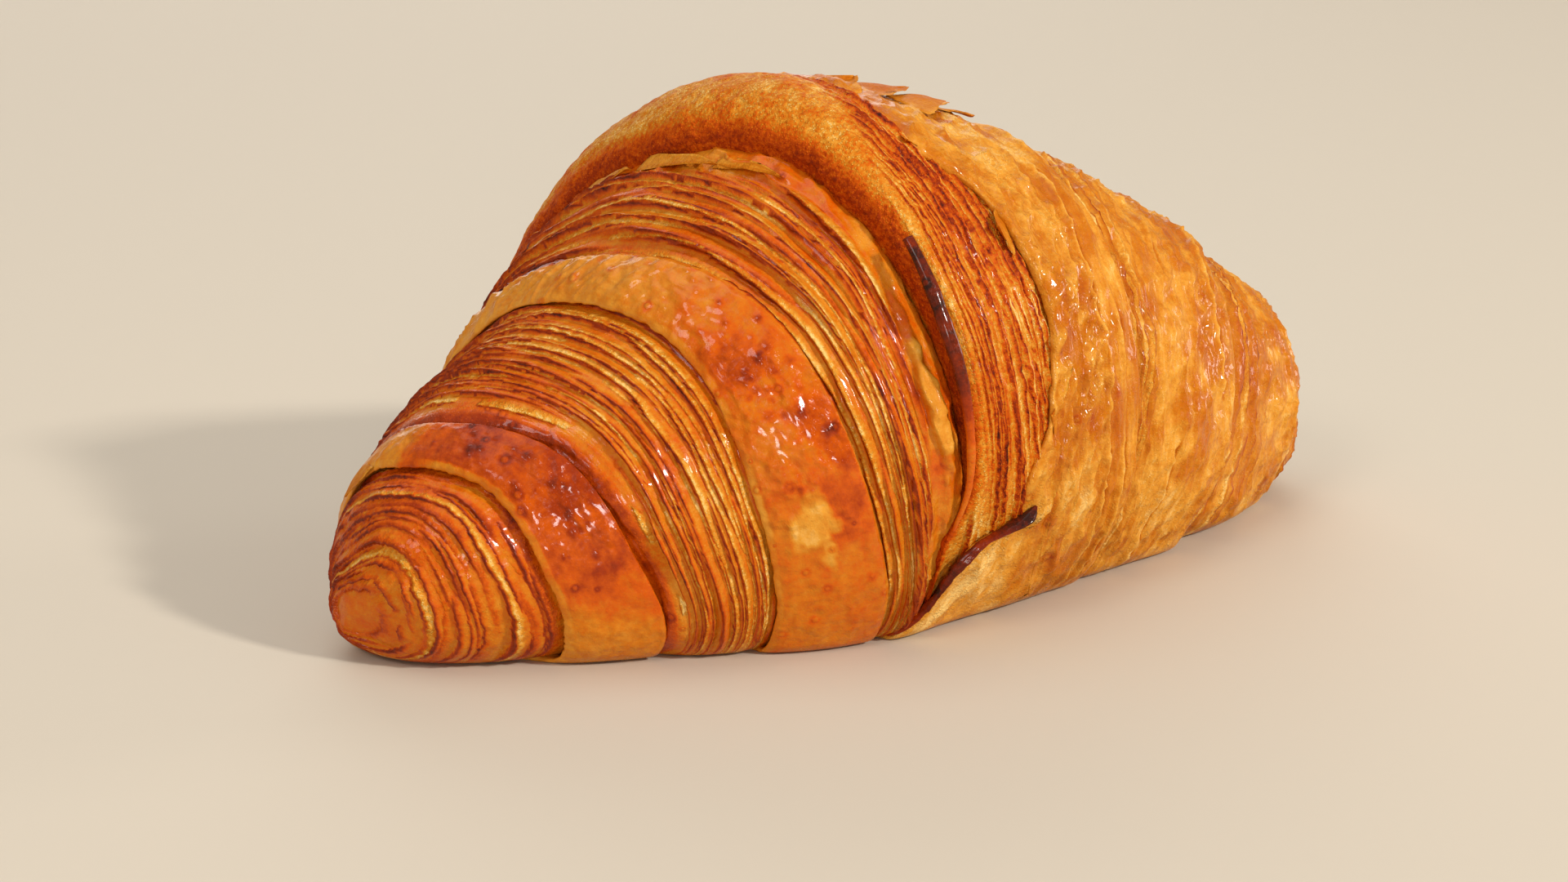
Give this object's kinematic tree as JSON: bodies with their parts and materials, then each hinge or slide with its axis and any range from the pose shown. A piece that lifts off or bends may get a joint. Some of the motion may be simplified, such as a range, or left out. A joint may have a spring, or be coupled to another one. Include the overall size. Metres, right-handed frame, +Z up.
{
  "type": "croissant",
  "caption": "Large baked croissant, a roll of laminated dough with stepped layer edges and a rolled rim, resting on a flat base.",
  "frame": {"origin": "on the flat base, at the middle of the outline seen from above", "axes": "+X along the roll towards the long horn, +Z up, -Y the front where the tail of the dough is tucked under"},
  "size_m": [0.178, 0.092, 0.0757],
  "materials": {
    "baked_crust": "egg-washed, glossy on the skins and matte on the layer edges"
  },
  "bodies": {
    "root": {"croissant": "baked_crust"}
  },
  "joints": []
}
